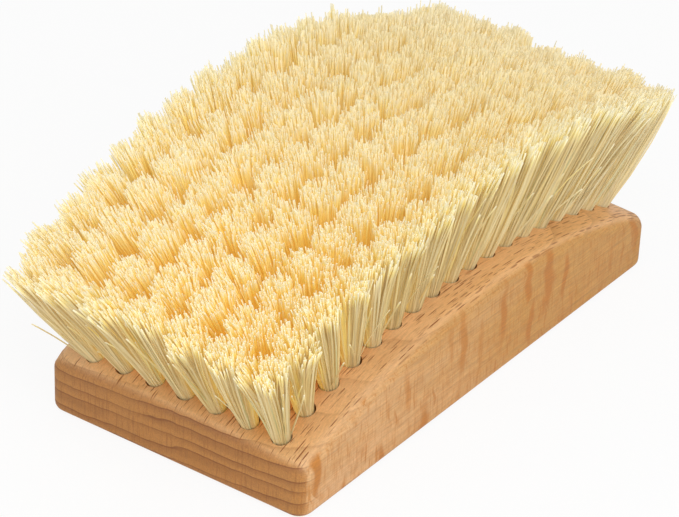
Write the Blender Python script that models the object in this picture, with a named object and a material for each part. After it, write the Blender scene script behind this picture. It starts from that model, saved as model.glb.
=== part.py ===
"""Banneton brush: a bowed beech block with cross rows of plant fibre tufts set in drilled holes."""
import math
import random

import bmesh
import bpy
from mathutils import Matrix, Vector

# Block, in metres: X runs along it, Y across it, and Z up from its flat back
block_length = 0.150
block_width = 0.075
end_height = 0.0151
bow_rise = 0.0134
bow_fullness = 0.0021
crown_drop = 0.0015
corner_radius = 0.004
side_round = 0.0034
end_round = 0.0020
bottom_round = 0.0022
bow_steps = 20
crown_steps = 6
arris_steps = 4
corner_steps = 5
bottom_steps = 3

# Field of holes: rows lie across the block and columns along it
row_count = 18
column_count = 7
near_margin = 0.0054
far_margin = 0.0076
side_margin = 0.01035
wide_gaps = 3
wide_extra = 0.0009
hole_diameter = 0.0050
hole_depth = 0.0095
hole_sides = 8

# Tufts: each cross row of them is fused to a slice that lies in a slot across the block
fit_gap = 0.0003
slice_depth = 0.0022
root_overlap = 0.0007
root_sides = 6
bristle_length = 0.0355
end_lean = math.radians(29.0)
side_lean = math.radians(12.5)
tuft_gap = 0.0006
strand_gap = 0.0007
tip_scatter = 0.0009
tip_twist = math.radians(14.0)
cutter_reach = 0.006


def top_height(x, y):
    """Height of the bristle face over the back, bowed along X and slightly crowned across Y."""
    u = (2.0 * x / block_length) ** 2
    v = (2.0 * y / block_width) ** 2
    return end_height + bow_rise * (1.0 - u) + bow_fullness * u * (1.0 - u) - crown_drop * v


def arris_drop(x, y):
    """How far the rounded arris lies under the bristle face, from the distance to the outline."""
    from_end = block_length / 2.0 - abs(x)
    from_side = block_width / 2.0 - abs(y)
    inward = min(from_end, from_side)
    sideness = 1.0 if from_side < from_end else 0.0
    if from_end < corner_radius and from_side < corner_radius:
        past = math.hypot(corner_radius - from_end, corner_radius - from_side)
        inward = corner_radius - past
        sideness = ((corner_radius - from_side) / past) ** 2
    edge_round = end_round + (side_round - end_round) * sideness
    height = min(max(1.0 - inward / edge_round, 0.0), 1.0)
    return edge_round * (1.0 - math.sqrt(1.0 - height ** 2))


def top_slope(x):
    """Rise of the bristle face along X, on the block's centre line."""
    u = 2.0 * x / block_length
    per_u = -2.0 * bow_rise * u + bow_fullness * (2.0 * u - 4.0 * u ** 3)
    return per_u * 2.0 / block_length


def row_places():
    """X of each cross row: the gaps are even, but the first few from the near end are wider."""
    span = block_length - near_margin - far_margin
    pitch = (span - wide_gaps * wide_extra) / (row_count - 1)
    first = near_margin - block_length / 2.0
    return [first + i * pitch + min(i, wide_gaps) * wide_extra for i in range(row_count)]


def column_places():
    """Y of each lengthwise column, evenly spaced between the side margins."""
    pitch = (block_width - 2.0 * side_margin) / (column_count - 1)
    return [(i - (column_count - 1) / 2.0) * pitch for i in range(column_count)]


rows = row_places()
columns = column_places()


def tuft_direction(x, y):
    """Unit vector along a tuft: the field fans out towards the block's ends and sides."""
    along = math.tan(end_lean * math.sin(math.pi * x / block_length))
    across = math.tan(side_lean) * y / columns[-1]
    return Vector((along, across, 1.0)).normalized()


def fan_point(x, y, distance):
    """Point at a distance from the bristle face, along the fan of the tufts."""
    return Vector((x, y, top_height(x, y))) + tuft_direction(x, y) * distance


def half_room(places, index):
    """Half of the smaller gap between one place and its neighbours, less the tufts' own gap."""
    gaps = []
    for other in (index - 1, index + 1):
        if 0 <= other < len(places):
            gaps.append(abs(places[other] - places[index]))
    return (min(gaps) - tuft_gap) / 2.0


def row_frame(x):
    """Frame of a row: its origin on the bristle face, its Z square to the face."""
    turn = Matrix.Rotation(-math.atan(top_slope(x)), 4, 'Y')
    return Matrix.Translation((x, 0.0, top_height(x, 0.0))) @ turn


def make_material(name, colour, roughness):
    material = bpy.data.materials.new(name)
    material.use_nodes = True
    shader = material.node_tree.nodes['Principled BSDF']
    shader.inputs['Base Color'].default_value = (*colour, 1.0)
    shader.inputs['Roughness'].default_value = roughness
    shader.inputs['Metallic'].default_value = 0.0
    material.diffuse_color = (*colour, 1.0)
    return material


def finish_object(bm, name, collection, frame=None, material=None):
    """Turn a bmesh into an object of the given collection."""
    mesh = bpy.data.meshes.new(name)
    bm.to_mesh(mesh)
    bm.free()
    piece = bpy.data.objects.new(name, mesh)
    collection.objects.link(piece)
    if frame is not None:
        piece.matrix_world = frame
    if material is not None:
        mesh.materials.append(material)
    return piece


def hide_cutter(piece):
    piece.hide_render = True
    piece.display_type = 'WIRE'
    return piece


def upright_edges(bm):
    return [e for e in bm.edges if abs(e.verts[0].co.z - e.verts[1].co.z) > e.calc_length() * 0.99]


def faces_at(bm, height):
    return [f for f in bm.faces if all(abs(v.co.z - height) < 1e-6 for v in f.verts)]


def cut_face(bm, height, places, axis):
    """Cut the faces that lie at one height along planes across the given axis."""
    normal = Vector((1.0, 0.0, 0.0)) if axis == 0 else Vector((0.0, 1.0, 0.0))
    for place in places:
        faces = faces_at(bm, height)
        edges = {e for f in faces for e in f.edges}
        verts = {v for f in faces for v in f.verts}
        geometry = [*faces, *edges, *verts]
        bmesh.ops.bisect_plane(bm, geom=geometry, dist=1e-6, plane_co=normal * place, plane_no=normal)


def rim_edges(bm, height):
    """Edges between the faces at one height and the walls around them."""
    flat = set(faces_at(bm, height))
    return [e for e in bm.edges if len([f for f in e.link_faces if f in flat]) == 1]


def face_cuts(length, edge_round, steps):
    """Places to cut the bristle face along one axis: even over its flat, closer over its arrises."""
    flat = length - 2.0 * edge_round
    places = [flat * (i / steps - 0.5) for i in range(steps + 1)]
    for i in range(1, arris_steps):
        place = length / 2.0 - edge_round * (1.0 - math.cos(math.pi / 2.0 * i / arris_steps))
        places += [place, -place]
    return places


def make_block(collection, material, cutters):
    """The one-piece block, bowed on its bristle face, with rounded arrises, slots and holes."""
    bm = bmesh.new()
    size = Matrix.Diagonal((block_length, block_width, end_height, 1.0))
    bmesh.ops.create_cube(bm, size=1.0, matrix=Matrix.Translation((0.0, 0.0, end_height / 2.0)) @ size)
    bmesh.ops.bevel(bm, geom=upright_edges(bm), offset=corner_radius, segments=corner_steps,
                    profile=0.5, affect='EDGES')
    bmesh.ops.bevel(bm, geom=rim_edges(bm, 0.0), offset=bottom_round, segments=bottom_steps,
                    profile=0.5, affect='EDGES')
    cut_face(bm, end_height, face_cuts(block_length, end_round, bow_steps), 0)
    cut_face(bm, end_height, face_cuts(block_width, side_round, crown_steps), 1)
    for vert in bm.verts:
        if abs(vert.co.z - end_height) < 1e-6:
            x, y = vert.co.xy
            vert.co.z = top_height(x, y) - arris_drop(x, y)
    block = finish_object(bm, 'wood_block', collection, material=material)
    block.data.shade_smooth()
    block.data.set_sharp_from_angle(angle=math.radians(35.0))
    for name, group in cutters.items():
        cut = block.modifiers.new(name, 'BOOLEAN')
        cut.operation = 'DIFFERENCE'
        cut.solver = 'EXACT'
        cut.operand_type = 'COLLECTION'
        cut.collection = group
    return block


def slice_body(clearance, above):
    """Bar along Y under a row of tufts, from above the bristle face down to the slice's depth."""
    bm = bmesh.new()
    span = columns[-1] - columns[0] + hole_diameter
    low = -slice_depth - clearance
    size = Matrix.Diagonal((hole_diameter + 2.0 * clearance, span + 2.0 * clearance, above - low, 1.0))
    middle = Matrix.Translation((0.0, 0.0, (above + low) / 2.0))
    bmesh.ops.create_cube(bm, size=1.0, matrix=middle @ size)
    return bm


def hole_pins(x, diameter, depth, sides, frame):
    """Round pins for one row's holes, each in line with its tuft and from inside the slice down."""
    bm = bmesh.new()
    to_row = frame.to_3x3().inverted()
    for y in columns:
        aim = to_row @ tuft_direction(x, y)
        length = root_overlap + depth - slice_depth
        middle = Vector((0.0, y, -slice_depth)) + aim * (root_overlap - length / 2.0)
        place = Matrix.Translation(middle) @ aim.to_track_quat('Z', 'X').to_matrix().to_4x4()
        bmesh.ops.create_cone(bm, cap_ends=True, segments=sides, radius1=diameter / 2.0,
                              radius2=diameter / 2.0, depth=length, matrix=place)
    return bm


def strand_cells(bm, y, quarters):
    """Faces of one tuft's patch on the slice, one for each strand."""
    cells = []
    for sx, sy in quarters:
        spot = Vector((sx * hole_diameter / 4.0, y + sy * hole_diameter / 4.0))
        near = min(faces_at(bm, 0.0), key=lambda f: (f.calc_center_median().xy - spot).length)
        cells.append((near, sx, sy))
    return cells


def tuft_quarters(row, column):
    """A tuft on the rim of the field has four strands, and one inside it has three."""
    quarters = [(-1, -1), (1, -1), (1, 1), (-1, 1)]
    on_rim = row in (0, row_count - 1) or column in (0, column_count - 1)
    if not on_rim:
        quarters.pop((row + column) % 4)
    return quarters


def grow_tuft(bm, row, column, frame, chance):
    """Draw one tuft's patches out along the fan, each to its own quarter of the tuft's tip."""
    x = rows[row]
    y = columns[column]
    inverse = frame.inverted()
    half_x = half_room(rows, row)
    half_y = half_room(columns, column)
    for face, sx, sy in strand_cells(bm, y, tuft_quarters(row, column)):
        drawn = bmesh.ops.extrude_discrete_faces(bm, faces=[face])['faces'][0]
        root = drawn.calc_center_median()
        reach = bristle_length + chance.uniform(-tip_scatter, tip_scatter)
        twist = Matrix.Rotation(chance.uniform(-tip_twist, tip_twist), 2)
        for vert in drawn.verts:
            side = twist @ Vector((
                math.copysign((half_x - strand_gap) / 2.0, vert.co.x - root.x),
                math.copysign((half_y - strand_gap) / 2.0, vert.co.y - root.y)))
            tip_x = x + sx * half_x / 2.0 + side.x
            tip_y = y + sy * half_y / 2.0 + side.y
            length = reach + chance.uniform(-tip_scatter, tip_scatter) / 2.0
            vert.co = inverse @ fan_point(tip_x, tip_y, length)


def make_row(row, collection, cutters, material, chance):
    """One cross row: its slice, its strands and the folded roots that fill the drilled holes."""
    x = rows[row]
    frame = row_frame(x)
    bm = slice_body(0.0, 0.0)
    patch = hole_diameter / 2.0
    cut_face(bm, 0.0, [0.0], 0)
    cut_face(bm, 0.0, [y + side for y in columns for side in (-patch, 0.0, patch)][1:-1], 1)
    for column in range(column_count):
        grow_tuft(bm, row, column, frame, chance)
    for vert in bm.verts:
        if abs(vert.co.z) < 1e-6:
            vert.co.z = -crown_drop * (2.0 * vert.co.y / block_width) ** 2
    name = 'tuft_row_%02d' % (row + 1)
    piece = finish_object(bm, name, collection, frame, material)
    across_flats = hole_diameter * math.cos(math.pi / hole_sides)
    pins = hole_pins(x, across_flats - 2.0 * fit_gap, hole_depth, root_sides, frame)
    roots = hide_cutter(finish_object(pins, name + '_roots', cutters['roots'], frame))
    join = piece.modifiers.new('roots', 'BOOLEAN')
    join.operation = 'UNION'
    join.solver = 'EXACT'
    join.object = roots
    slot = slice_body(fit_gap, cutter_reach)
    hide_cutter(finish_object(slot, name + '_slot', cutters['slots'], frame))
    holes = hole_pins(x, hole_diameter, hole_depth + fit_gap, hole_sides, frame)
    hide_cutter(finish_object(holes, name + '_holes', cutters['holes'], frame))
    return piece


def main():
    for old in list(bpy.data.objects):
        bpy.data.objects.remove(old, do_unlink=True)
    parts = bpy.data.collections.new('banneton_brush')
    bpy.context.scene.collection.children.link(parts)
    cutters = {}
    for name in ('slots', 'holes', 'roots'):
        cutters[name] = bpy.data.collections.new('cutters_' + name)
        bpy.context.scene.collection.children.link(cutters[name])
    fibre = make_material('plant_fibre', (0.86, 0.72, 0.44), 0.7)
    beech = make_material('beech', (0.66, 0.40, 0.21), 0.5)
    chance = random.Random(5)
    for row in range(row_count):
        make_row(row, parts, cutters, fibre, chance)
    make_block(parts, beech, {'slots': cutters['slots'], 'holes': cutters['holes']})
    strands = sum(len(tuft_quarters(r, c)) for r in range(row_count) for c in range(column_count))
    print('strands', strands)


main()
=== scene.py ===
import math

import bmesh
import bpy
import numpy as np
from mathutils import Matrix, Vector


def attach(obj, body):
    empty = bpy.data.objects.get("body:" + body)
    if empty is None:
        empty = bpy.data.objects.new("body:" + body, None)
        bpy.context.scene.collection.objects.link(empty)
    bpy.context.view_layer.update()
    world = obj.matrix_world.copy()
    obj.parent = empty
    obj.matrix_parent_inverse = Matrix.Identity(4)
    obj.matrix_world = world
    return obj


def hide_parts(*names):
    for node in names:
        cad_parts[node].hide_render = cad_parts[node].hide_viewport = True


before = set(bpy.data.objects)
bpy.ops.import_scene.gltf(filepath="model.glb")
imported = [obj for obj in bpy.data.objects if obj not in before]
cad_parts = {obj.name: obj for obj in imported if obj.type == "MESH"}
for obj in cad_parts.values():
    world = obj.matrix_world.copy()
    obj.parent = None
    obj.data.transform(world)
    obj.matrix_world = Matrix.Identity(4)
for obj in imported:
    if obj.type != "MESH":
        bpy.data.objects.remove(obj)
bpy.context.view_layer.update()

bpy.context.scene.view_settings.view_transform = "Standard"
sameSpot = 1e-6         # metres: what lies closer than this is in one place


# Camera: angles in degrees, distances in metres; aim is how far the view's centre lies
# right of and above the middle of the block's back
cameraSetup = dict(
    azimuth=34.709004, elevation=30.189555, roll=2.397599, distance=0.6984878,
    aimRight=-0.0052494, aimUp=0.0183065,
    focalPixels=2800.0, photoPixels=679.0, sensor=36.0, nearest=0.01, farthest=20.0)


def makeCamera(values):
    turn = math.radians(values["azimuth"])
    rise = math.radians(values["elevation"])
    roll = math.radians(values["roll"])
    look = Vector((math.cos(rise) * math.cos(turn), math.cos(rise) * math.sin(turn),
                   -math.sin(rise)))
    level = Vector((math.sin(turn), -math.cos(turn), 0.0))
    upright = level.cross(look)
    right = level * math.cos(roll) + upright * math.sin(roll)
    up = upright * math.cos(roll) - level * math.sin(roll)
    aim = right * values["aimRight"] + up * values["aimUp"]
    data = bpy.data.cameras.new("camera")
    data.lens = values["focalPixels"] * values["sensor"] / values["photoPixels"]
    data.sensor_width = values["sensor"]
    data.sensor_fit = "HORIZONTAL"
    data.clip_start = values["nearest"]
    data.clip_end = values["farthest"]
    camera = bpy.data.objects.new("camera", data)
    bpy.context.scene.collection.objects.link(camera)
    pose = Matrix((right, up, -look)).transposed().to_4x4()
    pose.translation = aim - look * values["distance"]
    camera.matrix_world = pose
    bpy.context.scene.camera = camera


makeCamera(cameraSetup)
print("camera made")


# One socket of a node tree; sums on it add Math nodes, and node() adds any other node
class Wire:
    def __init__(self, tree, socket=None):
        self.tree = tree
        self.socket = socket

    def node(self, kind, settings=None, inputs=None, output=0):
        made = self.tree.nodes.new(kind)
        for name, value in (settings or {}).items():
            setattr(made, name, value)
        for name, value in (inputs or {}).items():
            if isinstance(value, Wire):
                self.tree.links.new(value.socket, made.inputs[name])
            else:
                made.inputs[name].default_value = value
        return Wire(self.tree, made.outputs[output])

    def maths(self, operation, *values):
        return self.node("ShaderNodeMath", dict(operation=operation), dict(enumerate(values)))

    def __add__(self, other):
        return self.maths("ADD", self, other)

    def __radd__(self, other):
        return self.maths("ADD", other, self)

    def __sub__(self, other):
        return self.maths("SUBTRACT", self, other)

    def __rsub__(self, other):
        return self.maths("SUBTRACT", other, self)

    def __mul__(self, other):
        return self.maths("MULTIPLY", self, other)

    def __rmul__(self, other):
        return self.maths("MULTIPLY", other, self)

    def __truediv__(self, other):
        return self.maths("DIVIDE", self, other)

    def __rtruediv__(self, other):
        return self.maths("DIVIDE", other, self)

    def __abs__(self):
        return self.maths("ABSOLUTE", self)

    def fraction(self):
        return self.maths("FRACT", self)

    def step(self, low, high):
        return self.node("ShaderNodeMapRange", dict(interpolation_type="SMOOTHSTEP", clamp=True),
                         {"Value": self, "From Min": low, "From Max": high,
                          "To Min": 0.0, "To Max": 1.0})

    # a mask that stays 1 where it is full and loses only this much where it is empty
    def eased(self, loss):
        return self * loss + (1.0 - loss)

    def vectors(self, operation, other=(0.0, 0.0, 0.0), output="Vector"):
        return self.node("ShaderNodeVectorMath", dict(operation=operation),
                         {0: self, 1: other}, output)

    def stretched(self, scale, shift=(0.0, 0.0, 0.0)):
        return self.node("ShaderNodeMapping", {},
                         {"Vector": self, "Scale": scale, "Location": shift})

    # cloudy noise, with its scale along X, Y and Z
    def grain(self, scale, shift=(0.0, 0.0, 0.0), detail=1.0, roughness=0.5):
        return self.node("ShaderNodeTexNoise", dict(noise_dimensions="3D"),
                         {"Vector": self.stretched(scale, shift), "Scale": 1.0,
                          "Detail": detail, "Roughness": roughness}, "Fac")

    # position shifted sideways along X by a noise of the given scale
    def bent(self, scale, reach):
        push = (self.grain(scale) - 0.5) * reach
        return self.vectors("ADD", push.node("ShaderNodeCombineXYZ", {}, {"X": push}))

    # lens shapes strewn one to a cell, of differing sizes; a share of the cells stays empty
    def lenses(self, gap, size, empty, shift=(0.0, 0.0, 0.0)):
        shrink, vary, core, faint = 0.75, 0.8, 0.50, 0.25
        cells = self.stretched([1.0 / g for g in gap], shift)
        centre = cells.node("ShaderNodeTexVoronoi", {}, {"Vector": cells, "Scale": 1.0}, "Position")
        chance = Wire(self.tree, centre.socket.node.outputs["Color"])
        offset = cells.vectors("SUBTRACT", centre)
        offset = offset.vectors("MULTIPLY", [g / s for g, s in zip(gap, size)])
        far = offset.vectors("LENGTH", output="Value") * (chance.axis("Y") * vary + shrink)
        return (1.0 - far.step(core, 1.0)) * chance.axis("X").step(empty, empty + faint)

    def axis(self, name):
        return self.node("ShaderNodeSeparateXYZ", {}, {0: self}, name)

    def blend(self, first, second):
        ends = [(*end, 1.0) if isinstance(end, tuple) else end for end in (first, second)]
        return self.node("ShaderNodeMix", dict(data_type="RGBA"),
                         {0: self, 6: ends[0], 7: ends[1]}, 2)

    def tinted(self, shade):
        grey = self.node("ShaderNodeCombineColor", {}, {0: shade, 1: shade, 2: shade})
        return self.node("ShaderNodeMix", dict(data_type="RGBA", blend_type="MULTIPLY"),
                         {0: 1.0, 6: self, 7: grey}, 2)


def newMaterial(name):
    material = bpy.data.materials.new(name)
    material.use_nodes = True
    tree = material.node_tree
    return material, tree.nodes["Principled BSDF"], Wire(tree)


def link(wire, shader, name):
    wire.tree.links.new(wire.socket, shader.inputs[name])


# Beech: colours are linear, and lengths are in millimetres along, across and up
beechLook = dict(
    pale=(0.76, 0.460, 0.232), warm=(0.60, 0.315, 0.086), endGrain=(0.42, 0.176, 0.033),
    ring=(0.23, 0.080, 0.018), dash=(0.23, 0.072, 0.012), fleck=(0.52, 0.200, 0.032),
    roughness=0.50, streakRoughness=0.16, dashRoughness=0.10, bump=0.4, bumpHeight=0.0002,
    streakRelief=0.5, speckleRelief=0.25, dashRelief=0.8, ringRelief=0.4,

    ringGap=3.1, ringTilt=0.06, ringWave=4.4, ringDrift=4.0, ringRipple=0.6,
    ringSlope=0.47, ringLine=0.53, ringLoss=0.45, cornerShare=0.3,
    ringOnEnd=1.25, ringOnTop=0.34, ringOnSide=0.18,

    # painted shade: the far and side strengths below darken the wood away from the near end, where
    # the light falls off
    cloudWarmth=0.40, paintedFarShade=0.12, paintedFarSideShade=0.50, sideWarmth=0.05, paintedMidSideShade=0.35,
    endDarkness=0.90, mottle=0.12, lowMottle=0.22, sideHatch=0.55, endHatch=0.33, sideLines=0.30,
    dashLoss=0.2, farDashLoss=0.1, fineDashStrength=0.45, farDashStrength=0.65,
    smallFleckStrength=0.8, fleckPatches=0.8, pastPatches=0.1, highFleckLoss=0.7,
    streakShade=0.64, speckleShade=0.34, endSpeckle=0.25, paintedFarLight=0.16, brightness=1.02,

    # where each mask begins and where it is full
    bands=dict(
        end=(0.56, 0.94), side=(0.5, 0.9), near=(-62.0, 10.0), low=(9.0, 22.0),
        paintedFarShade=(-50.0, 80.0), midWarmth=(-85.0, -20.0), paintedFarLight=(-45.0, 20.0),
        ringSlope=(0.12, 0.94), ringLine=(0.83, 0.965), ringEdge=(0.975, 1.0),
        ringFade=(0.30, 0.60), rayPatch=(0.30, 0.62), fleckPatch=(0.36, 0.54),
        clouds=(0.30, 0.72), mottle=(0.40, 0.70), lines=(0.50, 0.66),
        sideHatch=(0.50, 0.68), endHatch=(0.52, 0.66)),

    # noises: scale, shift, detail and roughness
    grain=dict(
        ringWave=((0.007, 0.045, 0.02), (0.0, 0.0, 0.0), 2.0),
        ringDrift=((0.003, 0.006, 0.23),),
        ringRipple=((0.03, 0.24, 0.12),),
        ringFade=((0.02, 0.04, 0.09), (7.0, 3.0, 1.0)),
        rayPatch=((0.035, 0.07, 0.05), (1.0, 6.0, 4.0)),
        fleckPatch=((0.040, 0.02, 0.06), (4.0, 2.0, 8.0)),
        clouds=((0.022, 0.075, 0.085), (3.0, 9.0, 2.0), 3.0),
        streaks=((0.14, 2.6, 2.6), (0.0, 0.0, 0.0), 3.0, 0.65),
        upright=((1.9, 2.3, 0.17), (5.0, 3.0, 1.0), 2.0, 0.6),
        speckle=((2.4, 3.4, 3.4), (1.0, 2.0, 9.0), 2.0, 0.7),
        lines=((0.045, 2.0, 2.6), (8.0, 1.0, 4.0), 2.0, 0.6),
        mottle=((0.34, 0.95, 0.24), (2.0, 4.0, 6.0), 3.0, 0.65)),

    # rays seen on the top and on the sides: cell, size, share of empty cells and shift
    dashes=dict(
        long=((4.9, 1.30, 12.0), (2.8, 0.16, 8.0), 0.12),
        fine=((3.1, 0.90, 9.0), (1.3, 0.11, 4.0), 0.05, (0.3, 0.6, 0.2)),
        far=((3.9, 1.70, 10.0), (2.2, 0.30, 6.0), 0.20, (0.5, 0.2, 0.7))),
    flecks=dict(
        tall=((8.5, 6.0, 20.0), (2.10, 4.6, 11.0), 0.12, (0.7, 0.1, 0.4)),
        small=((2.7, 3.5, 7.0), (0.46, 2.2, 3.2), 0.15, (0.2, 0.8, 0.5))),
    fleckBend=((0.05, 0.10, 0.16), 4.0))


def beechMaterial(look):
    material, shader, start = newMaterial("beech")
    bands = look["bands"]
    place = start.node("ShaderNodeTexCoord", output="Object").stretched((1000.0, 1000.0, 1000.0))
    facing = start.node("ShaderNodeTexCoord", output="Normal")
    toEnd = abs(facing.axis("X")) + abs(facing.axis("Y")) * look["cornerShare"]
    toEnd = toEnd.step(*bands["end"])
    toSide = abs(facing.axis("Y")).step(*bands["side"])
    toTop = (1.0 - toEnd) * (1.0 - toSide)
    along, across, height = place.axis("X"), place.axis("Y"), place.axis("Z")
    nearEnd = 1.0 - along.step(*bands["near"])
    lowDown = 1.0 - height.step(*bands["low"])
    grain = {name: place.grain(*values) for name, values in look["grain"].items()}

    # growth rings lie flat and wavy, and end in a thin dark line
    wave = grain["ringWave"] * look["ringWave"]
    wave = wave + grain["ringDrift"] * look["ringDrift"]
    ripple = grain["ringRipple"] * look["ringRipple"]
    phase = (height + across * look["ringTilt"] + wave + ripple) / look["ringGap"]
    phase = phase.fraction()
    rings = phase.step(*bands["ringSlope"]) * look["ringSlope"]
    rings = rings + phase.step(*bands["ringLine"]) * look["ringLine"]
    rings = rings * (1.0 - phase.step(*bands["ringEdge"]))
    onFaces = toEnd * look["ringOnEnd"] + toTop * look["ringOnTop"] + toSide * look["ringOnSide"]
    rings = rings * onFaces * grain["ringFade"].step(*bands["ringFade"]).eased(look["ringLoss"])

    # rays are thin upright lenses: dashes on the top, upright flecks on the long sides
    dashes = {name: place.lenses(*values) for name, values in look["dashes"].items()}
    inPatches = grain["rayPatch"].step(*bands["rayPatch"]).eased(look["dashLoss"])
    longDashes = dashes["long"] * inPatches
    bent = place.bent(*look["fleckBend"])
    flecks = {name: bent.lenses(*values) for name, values in look["flecks"].items()}
    inPatches = grain["fleckPatch"].step(*bands["fleckPatch"]) * look["fleckPatches"]
    inPatches = inPatches + look["pastPatches"]
    smallFlecks = flecks["small"] * inPatches * lowDown.eased(look["highFleckLoss"])
    sideFlecks = (flecks["tall"] + smallFlecks * look["smallFleckStrength"]) * toSide

    # the wood is paler and pinker towards its near end, and darker and warmer towards its far end
    # and along the long sides: painted shade for light falling off away from the near end, laid
    # over cloudy warm patches that are the wood's own
    warmthAndPaintedShade = grain["clouds"].step(*bands["clouds"]) * look["cloudWarmth"]
    paintedFarShade = toSide * look["paintedFarSideShade"] + look["paintedFarShade"]
    warmthAndPaintedShade = warmthAndPaintedShade + along.step(*bands["paintedFarShade"]) * paintedFarShade + toSide * look["sideWarmth"]
    warmthAndPaintedShade = warmthAndPaintedShade + along.step(*bands["midWarmth"]) * toSide * look["paintedMidSideShade"]
    mottle = toSide * lowDown * look["lowMottle"] + look["mottle"]
    upright, streaks, speckle = grain["upright"], grain["streaks"], grain["speckle"]

    colour = warmthAndPaintedShade.blend(look["pale"], look["warm"])
    for strength, name in (
            (toEnd * look["endDarkness"], "endGrain"),
            (rings, "ring"),
            (grain["mottle"].step(*bands["mottle"]) * mottle, "fleck"),
            (upright.step(*bands["sideHatch"]) * toSide * look["sideHatch"], "fleck"),
            (upright.step(*bands["endHatch"]) * toEnd * look["endHatch"], "dash"),
            (grain["lines"].step(*bands["lines"]) * toSide * look["sideLines"], "fleck"),
            (dashes["fine"] * toTop * look["fineDashStrength"], "dash"),
            (dashes["far"] * (1.0 - nearEnd) * toTop * look["farDashStrength"], "dash"),
            (longDashes * toTop * nearEnd.eased(look["farDashLoss"]), "dash"),
            (sideFlecks, "fleck")):
        colour = strength.blend(colour, look[name])
    shade = (streaks - 0.5) * look["streakShade"]
    shade = shade + (speckle - 0.5) * (toEnd * look["endSpeckle"] + look["speckleShade"])
    # painted light: the top is made lighter beyond the near end
    shade = shade + toTop * along.step(*bands["paintedFarLight"]) * look["paintedFarLight"] + look["brightness"]
    link(colour.tinted(shade), shader, "Base Color")

    rough = streaks * look["streakRoughness"] + longDashes * look["dashRoughness"]
    link(rough + (look["roughness"] - look["streakRoughness"] / 2.0), shader, "Roughness")
    relief = streaks * look["streakRelief"] + speckle * look["speckleRelief"]
    relief = relief - longDashes * toTop * look["dashRelief"] - rings * look["ringRelief"]
    bump = relief.node("ShaderNodeBump", {}, {
        "Strength": look["bump"], "Distance": look["bumpHeight"], "Height": relief})
    link(bump, shader, "Normal")
    return material


# Plant fibre: the attributes along, tone and open are set on each fibre. The golden inner fibres,
# the greyer and darker outer ones, the duller far ones, the pale corners and the glow are painted
# light and shade, and so in part are the pale tips
fibreLook = dict(
    shaft=(0.971, 0.884, 0.49), warm=(0.971, 0.842, 0.31), paintedInnerGlow=(0.974, 0.812, 0.23),
    outside=(0.755, 0.628, 0.345), yellow=(0.68, 0.50, 0.18), root=(0.70, 0.58, 0.32),
    tip=(0.985, 0.945, 0.76), green=(0.66, 0.68, 0.34), paintedFarDull=(0.895, 0.785, 0.450),
    pale=(0.93, 0.860, 0.63),
    paintedInnerGlowStrength=0.85, outsideStrength=0.92, rootStrength=0.55, greenStrength=0.6,
    tipStrength=0.95, outsideTip=0.2, paintedFarDullness=0.60, paintedCornerLight=0.40,
    shadeScatter=0.05, outsideScatter=0.15, paintedOutsideShade=0.08, paintedFarOuterShade=0.07, brightness=0.95,
    roughness=0.55, roughScatter=0.2, glow=0.062, paintedOutsideGlow=0.5,

    # tone times one of these, less its whole part, is another chance value of the fibre
    chances=dict(yellow=5.17, shade=7.31, rough=3.7),

    # where each mask begins and is full: by tone, by the share of the fibre's length, and in metres
    bands=dict(
        warm=(0.25, 0.95), yellow=(0.40, 1.0), green=(0.02, 0.05),
        paintedInnerGlow=(0.70, 0.98), outside=(0.81, 0.98), root=(0.0, 0.45), greenPart=(0.5, 0.9),
        tip=(0.92, 0.995),
        far=(-0.080, 0.045), leftSide=(0.0, 0.045), nearEnd=(-0.090, -0.025),
        farEnd=(0.030, 0.090)))


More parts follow.
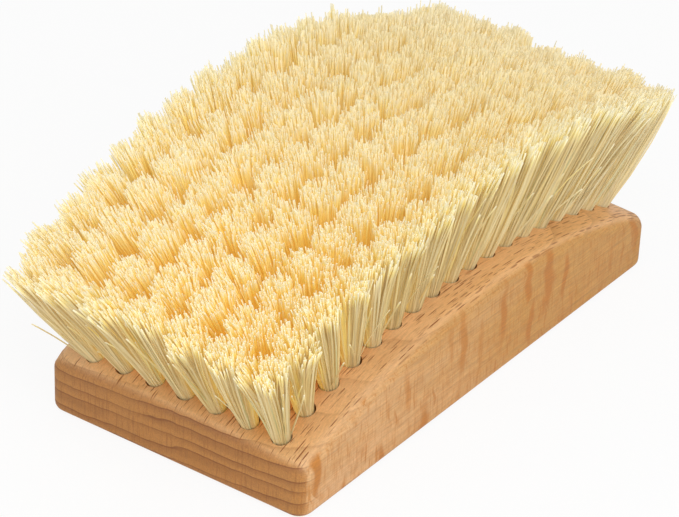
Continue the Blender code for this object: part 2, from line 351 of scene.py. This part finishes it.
def fibreMaterial(look):
    material, shader, start = newMaterial("plant_fibre")
    bands = look["bands"]

    def attribute(name):
        return start.node("ShaderNodeAttribute", dict(attribute_name=name), {}, "Fac")

    along, tone, outer = attribute("along"), attribute("tone"), attribute("open")
    inner = 1.0 - outer
    chances = {name: (tone * factor).fraction() for name, factor in look["chances"].items()}
    place = start.node("ShaderNodeTexCoord", output="Object")
    length, width = place.axis("X"), place.axis("Y")
    far = length.step(*bands["far"])
    # painted light: fibres on the far long side by the near end, and at the far end, are made
    # paler, where fibres leaning away would show shade
    paintedLightCorners = width.step(*bands["leftSide"]) * (1.0 - length.step(*bands["nearEnd"]))
    paintedLightCorners = paintedLightCorners + length.step(*bands["farEnd"])

    # each of these masks is full at the root and fades out towards the tip
    paintedInnerGlow, outside, root, greenPart = (
        1.0 - along.step(*bands[name]) for name in ("paintedInnerGlow", "outside", "root", "greenPart"))
    green = (1.0 - tone.step(*bands["green"])) * greenPart
    # the top of each fibre turns pale: partly the paler cut end of the fibre, and partly a painted
    # highlight on the lit tops
    tip = along.step(*bands["tip"]) * (look["tipStrength"] - outer * look["outsideTip"])
    outsideColour = chances["yellow"].step(*bands["yellow"]).blend(look["outside"], look["yellow"])

    colour = tone.step(*bands["warm"]).blend(look["shaft"], look["warm"])
    for strength, shown in (
            # painted light: the inner fibres turn golden towards the root, for the light passed on
            # between them in the shaded valleys
            (paintedInnerGlow * inner * look["paintedInnerGlowStrength"], look["paintedInnerGlow"]),
            # partly painted shade: the outer fibres turn greyer than the inner ones towards the
            # root; a random share of them is yellow, as fibres differ
            (outside * outer * look["outsideStrength"], outsideColour),
            # painted shade: the outer fibres darken towards the root, by their hole
            (root * outer * look["rootStrength"], look["root"]),
            (green * look["greenStrength"], look["green"]),
            (tip, look["tip"]),
            # painted shade: the inner fibres turn duller towards the far end, where the light falls
            # off
            (far * look["paintedFarDullness"] * inner, look["paintedFarDull"]),
            (paintedLightCorners * look["paintedCornerLight"], look["pale"])):
        colour = strength.blend(colour, shown)
    shade = chances["shade"] * (outer * look["outsideScatter"] + look["shadeScatter"])
    # painted shade: the outer fibres are darkened, and more so towards the far end
    shade = shade - outer * look["paintedOutsideShade"] + look["brightness"] - far * outer * look["paintedFarOuterShade"]
    colour = colour.tinted(shade)
    link(colour, shader, "Base Color")
    # painted light: the fibres glow in their own colour, standing in for the light passed on among
    # the translucent fibres; the outer ones glow more, which lightens the shade between them
    link(colour.tinted(outer * look["paintedOutsideGlow"] + 1.0), shader, "Emission Color")
    shader.inputs["Emission Strength"].default_value = look["glow"]
    rough = chances["rough"] * look["roughScatter"]
    link(rough + (look["roughness"] - look["roughScatter"] / 2.0), shader, "Roughness")
    return material


def finishPiece(bm, name):
    mesh = bpy.data.meshes.new(name)
    bm.to_mesh(mesh)
    bm.free()
    piece = bpy.data.objects.new(name, mesh)
    bpy.context.scene.collection.objects.link(piece)
    return piece


# Block, in metres: X runs along it, Y across it, and Z up from its flat back
block = dict(
    length=0.150, width=0.075, endHeight=0.0151, bowRise=0.0134, bowFullness=0.0021,
    crownDrop=0.0015, cornerRadius=0.0040, sideRound=0.0034, endRound=0.0020,
    bottomRound=0.0022, bowSteps=60, crownSteps=14, arrisSteps=7, cornerSteps=9, bottomSteps=5,
    sharpAngle=35.0)

# Drilled holes, in 18 rows across the block and 7 columns along it; each drill stands out of
# the wood by half of drillRise
holes = dict(
    rows=18, columns=7, nearMargin=0.0054, farMargin=0.0076, sideMargin=0.01035,
    wideGaps=3, wideExtra=0.0009, radius=0.0025, depth=0.0095, drillRise=0.006, sides=28)


def faceHeight(x, y):
    u = (2.0 * x / block["length"]) ** 2
    v = (2.0 * y / block["width"]) ** 2
    bow = block["bowRise"] * (1.0 - u) + block["bowFullness"] * u * (1.0 - u)
    return block["endHeight"] + bow - block["crownDrop"] * v


# how far the rounded edges and corners lie under the face
def arrisDrop(x, y):
    fromEnd = block["length"] / 2.0 - abs(x)
    fromSide = block["width"] / 2.0 - abs(y)
    radius = block["cornerRadius"]
    inward = min(fromEnd, fromSide)
    sideness = 1.0 if fromSide < fromEnd else 0.0
    if fromEnd < radius and fromSide < radius:
        past = math.hypot(radius - fromEnd, radius - fromSide)
        inward = radius - past
        sideness = ((radius - fromSide) / past) ** 2
    edge = block["endRound"] + (block["sideRound"] - block["endRound"]) * sideness
    height = min(max(1.0 - inward / edge, 0.0), 1.0)
    return edge * (1.0 - math.sqrt(1.0 - height ** 2))


# the first gaps between rows, at the near end, are a little wider than the others
def rowPlaces():
    span = block["length"] - holes["nearMargin"] - holes["farMargin"]
    pitch = (span - holes["wideGaps"] * holes["wideExtra"]) / (holes["rows"] - 1)
    first = holes["nearMargin"] - block["length"] / 2.0
    return [first + i * pitch + min(i, holes["wideGaps"]) * holes["wideExtra"]
            for i in range(holes["rows"])]


def columnPlaces():
    pitch = (block["width"] - 2.0 * holes["sideMargin"]) / (holes["columns"] - 1)
    return [(i - (holes["columns"] - 1) / 2.0) * pitch for i in range(holes["columns"])]


rowX = rowPlaces()
columnY = columnPlaces()

# Tufts: lengths in metres, leans in degrees, and shares of 1; a pair is the least and the most
tufts = dict(
    length=0.0355, endLean=29.0, sideLean=12.5, seed=11,
    levels=(-0.22, 0.0, 0.32, 0.64, 0.88, 1.0),     # where a fibre bends; the first is in its hole
    sheetSide=30,                                   # fibres in one line of the template
    count=300, thickness=0.000182, thickScatter=(0.65, 1.35), outerThick=0.06, tipTaper=0.9,
    rootRadius=0.00210, tipRadius=0.0047, rootDepth=0.0080, foldRadius=0.0012,
    gridScatter=0.035, tuftWander=0.0004, tuftScatter=0.0003, offCentre=0.0002,
    clumps=6, clumpSpread=0.55, clumpPull=0.0005, clumpWander=0.0006, clumpScatter=0.00045,
    headroom=0.0005, lengthScatter=0.0014, dome=0.0013, frizz=0.0005, bend=0.00035,
    fanPower=1.08, wanderPower=2.2, strayPower=1.3,
    shortShare=0.16, shortCut=(0.001, 0.006), longShare=0.06, longReach=(0.0004, 0.0018),
    strayShare=0.03, strayReach=0.0024, strayCut=(0.0, 0.016),
    wildShare=0.004, wildSwing=(0.001, 0.0045), wildReach=0.0015, wildCut=(0.006, 0.026),
    nearBareness=-1.0, farBareness=0.6, bareSlope=1.5, bareStart=0.1, wildBareness=0.9,
    bareEvenness=0.9)

# The field's upper end is trimmed: rises and dips are in metres, and places and
# reaches are shares of halfField, which is about how far the end rows are from the middle
trim = dict(
    halfField=0.068, along=0.00145, across=0.00054, tilt=0.00154, spread=0.0008,
    bump=0.0020, bumpReach=0.75, dip=0.0016, dipPlace=0.6, dipReach=0.4,
    corner=0.0015, cornerPlace=-0.95)

goldenAngle = 2.399963
fullTurn = 6.28


def tuftAim(x, y):
    along = math.tan(math.radians(tufts["endLean"]) * math.sin(math.pi * x / block["length"]))
    across = math.tan(math.radians(tufts["sideLean"])) * y / columnY[-1]
    return Vector((along, across, 1.0)).normalized()


def tuftLength(x, y):
    u = x / trim["halfField"]
    w = y / columnY[-1]
    bump = 1.0 - min(abs(u) / trim["bumpReach"], 1.0) ** 2
    dip = (1.0 - min(abs(u - trim["dipPlace"]) / trim["dipReach"], 1.0) ** 2) ** 2
    corner = 1.0 if u < trim["cornerPlace"] else 0.0
    farSide = (trim["bump"] * bump - trim["dip"] * dip - trim["corner"] * corner) * max(w, 0.0) ** 3
    nearSide = trim["spread"] * max(u, 0.0) ** 4 * max(-w, 0.0)
    level = trim["across"] * w ** 2 + trim["tilt"] * w - trim["along"] * u ** 2
    return tufts["length"] + level + farSide + nearSide


def tipPoint(x, y):
    return Vector((x, y, faceHeight(x, y))) + tuftAim(x, y) * tuftLength(x, y)


def facesAt(bm, height):
    return [f for f in bm.faces if all(abs(v.co.z - height) < sameSpot for v in f.verts)]


def cutTop(bm, height, places, axis):
    normal = Vector((1.0, 0.0, 0.0)) if axis == 0 else Vector((0.0, 1.0, 0.0))
    for place in places:
        faces = facesAt(bm, height)
        edges = {e for f in faces for e in f.edges}
        verts = {v for f in faces for v in f.verts}
        bmesh.ops.bisect_plane(bm, geom=[*faces, *edges, *verts], dist=sameSpot,
                               plane_co=normal * place, plane_no=normal)


# cuts lie evenly over the face and crowd together over its rounded edges
def cutPlaces(length, edge, steps):
    flat = length - 2.0 * edge
    places = [flat * (i / steps - 0.5) for i in range(steps + 1)]
    for i in range(1, block["arrisSteps"]):
        place = length / 2.0 - edge * (1.0 - math.cos(math.pi / 2.0 * i / block["arrisSteps"]))
        places += [place, -place]
    return places


def drillHoles(piece):
    bm = bmesh.new()
    for x in rowX:
        for y in columnY:
            aim = tuftAim(x, y)
            rise = holes["drillRise"] / 2.0 - holes["depth"] / 2.0
            middle = Vector((x, y, faceHeight(x, y))) + aim * rise
            place = Matrix.Translation(middle) @ aim.to_track_quat("Z", "X").to_matrix().to_4x4()
            bmesh.ops.create_cone(
                bm, cap_ends=True, segments=holes["sides"], radius1=holes["radius"],
                radius2=holes["radius"], depth=holes["depth"] + holes["drillRise"], matrix=place)
    drills = finishPiece(bm, "drills")
    cut = piece.modifiers.new("holes", "BOOLEAN")
    cut.operation = "DIFFERENCE"
    cut.solver = "EXACT"
    cut.object = drills
    shown = piece.evaluated_get(bpy.context.evaluated_depsgraph_get())
    drilled = bpy.data.meshes.new_from_object(shown)
    piece.modifiers.clear()
    undrilled = piece.data
    piece.data = drilled
    bpy.data.objects.remove(drills)
    bpy.data.meshes.remove(undrilled)
    drilled.name = piece.name


def bevelEdges(bm, edges, offset, segments):
    bmesh.ops.bevel(bm, geom=edges, offset=offset, segments=segments, profile=0.5,
                    affect="EDGES", material=-1)


def makeBlock(material):
    bm = bmesh.new()
    top = block["endHeight"]
    size = Matrix.Diagonal((block["length"], block["width"], top, 1.0))
    bmesh.ops.create_cube(bm, size=1.0, matrix=Matrix.Translation((0.0, 0.0, top / 2.0)) @ size)
    upright = [e for e in bm.edges if abs(e.verts[0].co.z - e.verts[1].co.z) > sameSpot]
    bevelEdges(bm, upright, block["cornerRadius"], block["cornerSteps"])
    flat = set(facesAt(bm, 0.0))
    rim = [e for e in bm.edges if len([f for f in e.link_faces if f in flat]) == 1]
    bevelEdges(bm, rim, block["bottomRound"], block["bottomSteps"])
    cutTop(bm, top, cutPlaces(block["length"], block["endRound"], block["bowSteps"]), 0)
    cutTop(bm, top, cutPlaces(block["width"], block["sideRound"], block["crownSteps"]), 1)
    for vert in bm.verts:
        if abs(vert.co.z - top) < sameSpot:
            x, y = vert.co.xy
            vert.co.z = faceHeight(x, y) - arrisDrop(x, y)
    piece = finishPiece(bm, "beech_block")
    drillHoles(piece)
    piece.data.shade_smooth()
    piece.data.set_sharp_from_angle(angle=math.radians(block["sharpAngle"]))
    piece.data.materials.clear()
    piece.data.materials.append(material)
    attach(piece, "root")
    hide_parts("wood_block")


beech = beechMaterial(beechLook)
makeBlock(beech)
print("block made")


# One three-sided fibre is drawn up, cut at its levels and repeated over a grid; only its
# levels and the angles of its corners are read back, so its radius is free
def fibreSheet():
    bm = bmesh.new()
    last = len(tufts["levels"]) - 1
    bmesh.ops.create_cone(bm, cap_ends=True, segments=3, radius1=0.1, radius2=0.1, depth=last,
                          matrix=Matrix.Translation((0.0, 0.0, last / 2.0)))
    for level in range(1, last):
        bmesh.ops.bisect_plane(bm, geom=[*bm.verts, *bm.edges, *bm.faces], dist=sameSpot,
                               plane_co=(0.0, 0.0, level), plane_no=(0.0, 0.0, 1.0))
    side = tufts["sheetSide"]
    lines = tufts["count"] * holes["columns"] // side
    for step, steps in (((1.0, 0.0, 0.0), side - 1), ((0.0, 1.0, 0.0), lines - 1)):
        bmesh.ops.spin(bm, geom=[*bm.verts, *bm.edges, *bm.faces], cent=(0.0, 0.0, 0.0),
                       axis=(0.0, 0.0, 1.0), dvec=step, angle=0.0, steps=steps,
                       use_duplicate=True)
    mesh = bpy.data.meshes.new("fibre_sheet")
    bm.to_mesh(mesh)
    bm.free()
    return mesh


# which fibre each vertex belongs to, its level and its angle round the fibre
def readSheet(mesh):
    spots = np.empty(len(mesh.vertices) * 3, dtype=np.float32)
    mesh.vertices.foreach_get("co", spots)
    spots = spots.reshape(-1, 3)
    column = np.rint(spots[:, 0]).astype(int)
    line = np.rint(spots[:, 1]).astype(int)
    angle = np.arctan2(spots[:, 1] - line, spots[:, 0] - column)
    return line * tufts["sheetSide"] + column, np.rint(spots[:, 2]).astype(int), angle


# the direction in which the trimmed surface faces at a tuft
def tipNormal(x, y, reach=0.001):
    tangentX = np.array(tipPoint(x + reach, y) - tipPoint(x - reach, y))
    tangentY = np.array(tipPoint(x, y + reach) - tipPoint(x, y - reach))
    normal = np.cross(tangentX, tangentY)
    return normal / np.linalg.norm(normal)


# which way out of the field a tuft lies: both parts are 0 except on its edges
def wayOut(row, column):
    near, far = tufts["nearBareness"], tufts["farBareness"]
    return np.array(({0: near, holes["rows"] - 1: far}.get(row, 0.0),
                     {0: near, holes["columns"] - 1: far}.get(column, 0.0)))


# How each fibre of one tuft runs: one line of numbers for each level of each fibre
def growTuft(row, column, chance):
    x, y = rowX[row], columnY[column]
    count = tufts["count"]
    aim = np.array(tuftAim(x, y))
    side = np.cross((0.0, 1.0, 0.0), aim)
    side /= np.linalg.norm(side)
    other = np.cross(aim, side)
    root = np.array((x, y, faceHeight(x, y)))

    # fibres fill a disc and lean towards the nearest of a few clumps
    order = np.arange(count)
    ring = np.sqrt((order + 0.5) / count)
    turn = order * goldenAngle + chance.uniform(0.0, fullTurn)
    disc = np.stack((ring * np.cos(turn), ring * np.sin(turn)), 1)
    disc = disc + chance.normal(0.0, tufts["gridScatter"], (count, 2))
    centres = chance.normal(0.0, tufts["clumpSpread"], (tufts["clumps"], 2))
    nearest = np.argmin(((disc[:, None, :] - centres[None, :, :]) ** 2).sum(2), 1)
    wander = centres * tufts["clumpPull"] + chance.normal(0.0, tufts["clumpWander"], centres.shape)
    clumpLength = chance.normal(0.0, tufts["clumpScatter"], tufts["clumps"])
    lean = chance.normal(0.0, tufts["tuftWander"], 2)
    offCentre = chance.uniform(-1.0, 1.0, 2) * tufts["offCentre"]

    # strays part from their tuft, and wild ones stand out at the near sides
    outward = wayOut(row, column)
    bare = np.zeros(count)
    if outward.any():
        bare = (disc * outward).max(1) * tufts["bareSlope"] + tufts["bareStart"]
        bare = np.clip(bare, 0.0, 1.0)
    strays = chance.uniform(size=count) < tufts["strayShare"]
    strayReach = chance.normal(0.0, tufts["strayReach"], (count, 2))
    stray = np.where(strays[:, None], strayReach, 0.0)
    wild = chance.uniform(size=count) < tufts["wildShare"] * (bare > 0.0)
    swing = outward * chance.uniform(*tufts["wildSwing"], (count, 1))
    swing = swing + chance.normal(0.0, tufts["wildReach"], (count, 2))
    stray += np.where(wild[:, None], swing, 0.0)
    bare = np.where(wild, tufts["wildBareness"], bare)

    # how far each fibre ends past the trimmed surface, or short of it
    short = chance.uniform(size=count) < tufts["shortShare"]
    cut = tufts["headroom"] - abs(chance.normal(0.0, tufts["lengthScatter"], count))
    cut = cut + clumpLength[nearest]
    shortCut = np.where(short, chance.uniform(*tufts["shortCut"], count), 0.0)
    cut -= shortCut * (1.0 - bare * tufts["bareEvenness"])
    long = chance.uniform(size=count) < tufts["longShare"]
    cut += np.where(long, chance.uniform(*tufts["longReach"], count), 0.0)
    cut -= np.where(strays, chance.uniform(*tufts["strayCut"], count), 0.0)
    cut -= np.where(wild, chance.uniform(*tufts["wildCut"], count), 0.0)
    cut += chance.normal(0.0, tufts["tuftScatter"]) - tufts["dome"] * (disc ** 2).sum(1)
    bow = chance.normal(0.0, tufts["bend"], (count, 2))
    frizz = chance.normal(0.0, tufts["frizz"], (count, 2))

    tipOffset = disc * tufts["tipRadius"] + wander[nearest] + lean + frizz + stray
    tipSide = tipOffset[:, :1] * side + tipOffset[:, 1:] * other
    level = np.array(tipPoint(x, y)) - root
    square = tipNormal(x, y)
    length = ((level - tipSide) @ square) / (aim @ square) + cut
    paths = np.empty((count, len(tufts["levels"]), 3))
    for i, t in enumerate(tufts["levels"]):
        if t < 0.0:
            offset = disc * tufts["foldRadius"] + offCentre
            depth = np.full(count, -tufts["rootDepth"])
        else:
            fan = t ** tufts["fanPower"]
            offset = disc * tufts["rootRadius"] * (1.0 - fan) + disc * tufts["tipRadius"] * fan
            offset = offset + offCentre * (1.0 - t)
            offset = offset + (wander[nearest] + lean) * t ** tufts["wanderPower"]
            offset = offset + frizz * t + stray * t ** tufts["strayPower"]
            offset = offset + bow * math.sin(math.pi * t)
            depth = length * t
        paths[:, i] = root + depth[:, None] * aim + offset[:, :1] * side + offset[:, 1:] * other
    return paths, np.tile(side, (count, 1)), np.tile(other, (count, 1)), bare


# The template is copied for each row, and its vertices are put where the row's fibres run
def makeRow(row, sheet, layout, material):
    fibre, level, angle = layout
    chance = np.random.default_rng(tufts["seed"] * 100 + row)
    grown = [growTuft(row, column, chance) for column in range(holes["columns"])]
    paths, sides, others, bare = (np.concatenate(part) for part in zip(*grown))
    number = len(paths)
    thick = tufts["thickness"] * chance.uniform(*tufts["thickScatter"], number)
    thick = thick * (1.0 + tufts["outerThick"] * bare)
    phase = chance.uniform(0.0, fullTurn, number)
    tone = chance.uniform(size=number)

    around = (angle + phase[fibre])[:, None]
    taper = np.where(level == len(tufts["levels"]) - 1, tufts["tipTaper"], 1.0)
    radius = (thick[fibre] * taper)[:, None]
    outward = np.cos(around) * sides[fibre] + np.sin(around) * others[fibre]
    spots = paths[fibre, level] + radius * outward
    mesh = sheet.copy()
    mesh.name = "fibre_row_%02d" % (row + 1)
    mesh.vertices.foreach_set("co", spots.astype(np.float32).ravel())
    heights = np.array(tufts["levels"]).clip(0.0, 1.0)[level]
    for name, values in (("along", heights), ("tone", tone[fibre]), ("open", bare[fibre])):
        attribute = mesh.attributes.new(name, "FLOAT", "POINT")
        attribute.data.foreach_set("value", values.astype(np.float32))
    mesh.materials.append(material)
    mesh.update()
    piece = bpy.data.objects.new(mesh.name, mesh)
    bpy.context.scene.collection.objects.link(piece)
    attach(piece, "root")
    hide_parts("tuft_row_%02d" % (row + 1))


plantFibre = fibreMaterial(fibreLook)
fibreTemplate = fibreSheet()
templateLayout = readSheet(fibreTemplate)
for rowNumber in range(holes["rows"]):
    makeRow(rowNumber, fibreTemplate, templateLayout, plantFibre)
bpy.data.meshes.remove(fibreTemplate)
print("tufts made:", holes["rows"] * holes["columns"])

# Studio: each lamp has its watts, size and place in metres; the floor is just under the
# block's back, and pale fibres pass light on many times, so it may bounce more than usual
studio = dict(
    lamps=dict(key=(2.42, 0.5, (-0.32, -0.42, 0.50)), fill=(0.45, 0.4, (-0.62, 0.22, 0.26))),
    ambient=0.575, bounces=16, allBounces=24,
    floorColour=0.92, floorGlow=0.90, floorSize=8.0, floorDrop=0.0002)


def makeWorld(values):
    world = bpy.data.worlds.new("studio")
    bpy.context.scene.world = world
    world.use_nodes = True
    tree = world.node_tree
    start = Wire(tree)
    seen = start.node("ShaderNodeLightPath", output="Is Camera Ray")
    for ray in ("Is Glossy Ray", "Is Transmission Ray"):
        seen = seen.maths("MAXIMUM", seen, start.node("ShaderNodeLightPath", output=ray))
    background = tree.nodes["Background"]
    background.inputs["Color"].default_value = (1.0, 1.0, 1.0, 1.0)
    link(seen * (1.0 - values["ambient"]) + values["ambient"], background, "Strength")


def makeLamp(name, watts, size, spot):
    lamp = bpy.data.lights.new(name, "AREA")
    lamp.shape = "SQUARE"
    lamp.size = size
    lamp.energy = watts
    softbox = bpy.data.objects.new(name, lamp)
    bpy.context.scene.collection.objects.link(softbox)
    softbox.location = spot
    softbox.rotation_euler = (-Vector(spot)).to_track_quat("-Z", "Y").to_euler()


# the floor is matt to everything but the camera, which sees it almost white
def makeFloor(values):
    bm = bmesh.new()
    bmesh.ops.create_grid(bm, x_segments=1, y_segments=1, size=values["floorSize"] / 2.0,
                          matrix=Matrix.Translation((0.0, 0.0, -values["floorDrop"])))
    floor = finishPiece(bm, "floor")
    material = bpy.data.materials.new("floor")
    material.use_nodes = True
    tree = material.node_tree
    tree.nodes.remove(tree.nodes["Principled BSDF"])
    start = Wire(tree)
    pale = (values["floorColour"],) * 3 + (1.0,)
    matt = start.node("ShaderNodeBsdfDiffuse", {}, {"Color": pale})
    glow = start.node("ShaderNodeEmission", {}, {"Color": (1.0, 1.0, 1.0, 1.0), "Strength": 1.0})
    seen = start.node("ShaderNodeLightPath", output="Is Camera Ray") * values["floorGlow"]
    mixed = seen.node("ShaderNodeMixShader", {}, {0: seen, 1: matt, 2: glow})
    tree.links.new(mixed.socket, tree.nodes["Material Output"].inputs["Surface"])
    floor.data.materials.append(material)


def setBounces(values):
    cycles = bpy.context.scene.cycles
    cycles.diffuse_bounces = values["bounces"]
    cycles.transmission_bounces = values["bounces"]
    cycles.max_bounces = values["allBounces"]


makeWorld(studio)
for lampName, (lampWatts, lampSize, lampSpot) in studio["lamps"].items():
    makeLamp(lampName, lampWatts, lampSize, lampSpot)
makeFloor(studio)
setBounces(studio)
print("studio made")
